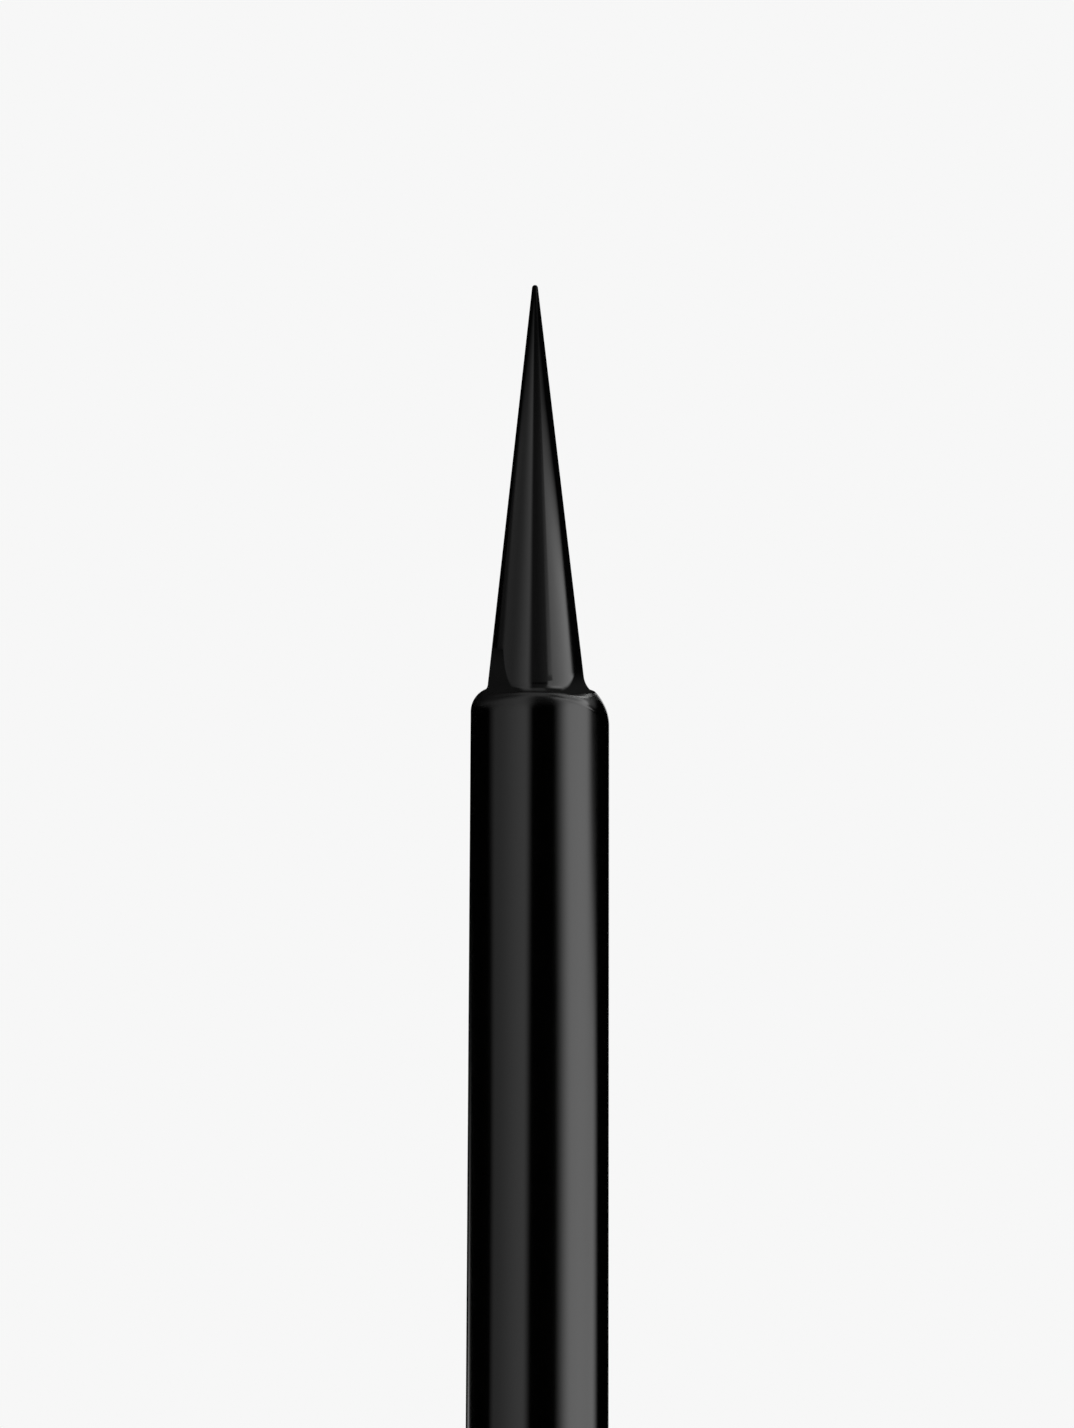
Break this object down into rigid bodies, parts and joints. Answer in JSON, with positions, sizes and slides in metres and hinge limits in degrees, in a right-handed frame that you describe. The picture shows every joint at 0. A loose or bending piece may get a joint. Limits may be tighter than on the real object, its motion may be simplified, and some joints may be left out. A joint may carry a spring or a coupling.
{
  "type": "liquid eyeliner pen",
  "caption": "Slim liquid eyeliner pen with a pointed fibre tip in a long thin nose, a finned ink collector, an ink tank and a sprung inner cap; it stands on its posted cap.",
  "frame": {"origin": "centre of the cap's closed end, on which the pen stands with its cap posted on the tail", "axes": "+Z along the pen's axis, from the cap's closed end to the point of the tip; the pen is round, so X and Y are free"},
  "size_m": [0.0106, 0.0106, 0.1652],
  "materials": {
    "tip_fibre": "ink-soaked bonded fibre, smooth and wet",
    "feed_fibre": "bonded fibre",
    "nose_plastic": "polished black moulding",
    "shell_plastic": "satin black moulding",
    "trim_metal": "black lacquered ring",
    "natural_plastic": "natural polypropylene",
    "rubber": "matt black",
    "steel": "bright drawn steel"
  },
  "bodies": {
    "pen": {"fibre_tip": "tip_fibre", "nose": "nose_plastic", "feed_tube": "natural_plastic", "feed_rod": "feed_fibre", "comb_collector": "natural_plastic", "collector_seal": "rubber", "front_section": "shell_plastic", "section_ring": "trim_metal", "barrel": "shell_plastic", "ink_tank": "natural_plastic", "tank_plug": "natural_plastic", "tank_plug_seal": "rubber", "tail_plug": "shell_plastic"},
    "agitator": {"mixing_ball": "steel"},
    "cap": {"cap_shell": "shell_plastic", "cap_end_plug": "shell_plastic", "inner_cap_retainer": "shell_plastic", "inner_cap_spring": "steel"},
    "inner_cap": {"inner_cap": "natural_plastic", "inner_cap_seal": "rubber"}
  },
  "joints": [
    {"name": "cap_pull", "type": "slide", "parent": "pen", "child": "cap", "axis": [0, 0, -1], "range_m": [0, 0.012]},
    {"name": "inner_cap_press", "type": "slide", "parent": "cap", "child": "inner_cap", "axis": [0, 0, -1], "range_m": [0, 0.0015], "stiffness_N_per_m": 400, "springref_m": -0.002, "deforming": ["inner_cap_spring"]},
    {"name": "ball_slide", "type": "slide", "parent": "pen", "child": "agitator", "axis": [0, 0, 1], "range_m": [0, 0.0313]}
  ]
}
